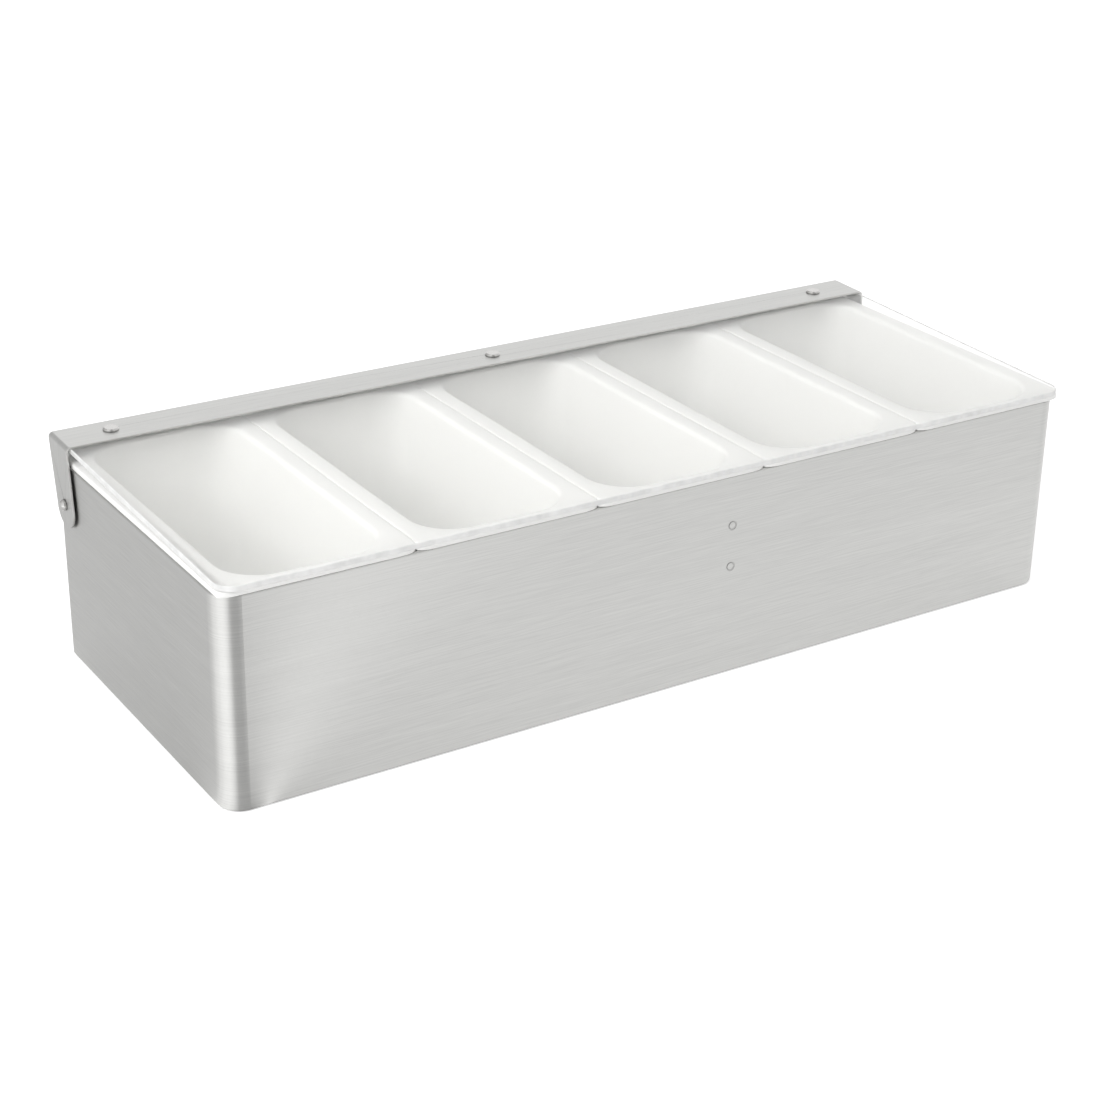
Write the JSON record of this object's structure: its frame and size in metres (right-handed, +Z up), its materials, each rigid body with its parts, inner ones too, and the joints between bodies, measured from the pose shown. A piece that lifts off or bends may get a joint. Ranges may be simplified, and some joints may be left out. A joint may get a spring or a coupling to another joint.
{
  "type": "condiment caddy",
  "caption": "Brushed steel condiment caddy holding a row of white lift-out tubs under one clear flat lid hinged at the back",
  "frame": {"origin": "middle of the flat underside", "axes": "+X along the length, to the right as seen from the front; -Y to the front; +Z up"},
  "size_m": [0.4786, 0.1867, 0.1168],
  "materials": {
    "steel": "brushed along the length",
    "tub": "white, softly glossy and slightly translucent",
    "lid": "clear, polished",
    "fastener": "plain turned"
  },
  "bodies": {
    "housing": {"shell": "steel", "back_panel": "steel", "front_strap": "steel", "tub_1": "tub", "tub_2": "tub", "tub_3": "tub", "tub_4": "tub", "tub_5": "tub", "pivot_pin_left": "fastener", "pivot_pin_right": "fastener", "spacer_left": "fastener", "spacer_right": "fastener"},
    "lid": {"lid_plate": "lid", "hinge_bar": "steel", "rivet_left": "fastener", "rivet_middle": "fastener", "rivet_right": "fastener", "washer_left": "fastener", "washer_middle": "fastener", "washer_right": "fastener"}
  },
  "joints": [
    {"name": "lid_hinge", "type": "hinge", "parent": "housing", "child": "lid", "pos_m": [0, 0.0795, 0.084], "axis": [-1, 0, 0], "range_deg": [0, 136]}
  ]
}
